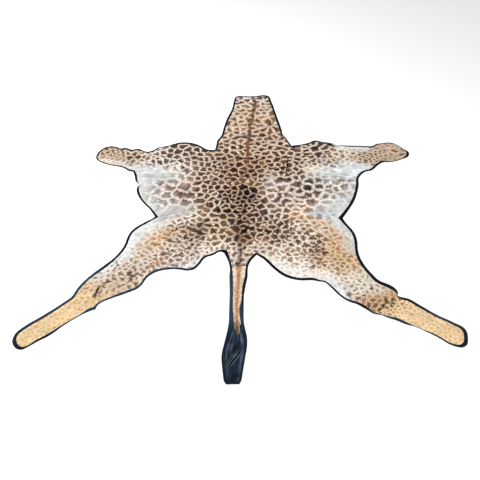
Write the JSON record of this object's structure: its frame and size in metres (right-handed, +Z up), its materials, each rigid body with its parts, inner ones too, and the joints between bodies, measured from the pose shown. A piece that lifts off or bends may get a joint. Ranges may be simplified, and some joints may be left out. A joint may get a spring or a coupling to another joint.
{
  "type": "giraffe hide rug",
  "caption": "Flat animal hide floor rug with spread legs, patched short hair, brown mane stripe, felt backing and a sewn-on tail with a black tuft.",
  "frame": {"origin": "centre of the rug's bounding box, at the felt's underside", "axes": "+X towards the rug's right side seen from above, +Y along the back towards the neck, +Z up"},
  "size_m": [2.9173, 3.1508, 0.0143],
  "materials": {
    "navy_felt": "dark navy wool felt, matt",
    "giraffe_hide": "tanned hide with its short hair on, brown patches on cream lines",
    "tail_skin": "tanned tail skin with short tan hair",
    "tuft_hair": "long coarse black hair, slightly glossy"
  },
  "bodies": {
    "root": {"felt_backing": "navy_felt", "hide": "giraffe_hide", "tail_skin": "tail_skin", "tail_tuft": "tuft_hair"}
  },
  "joints": []
}
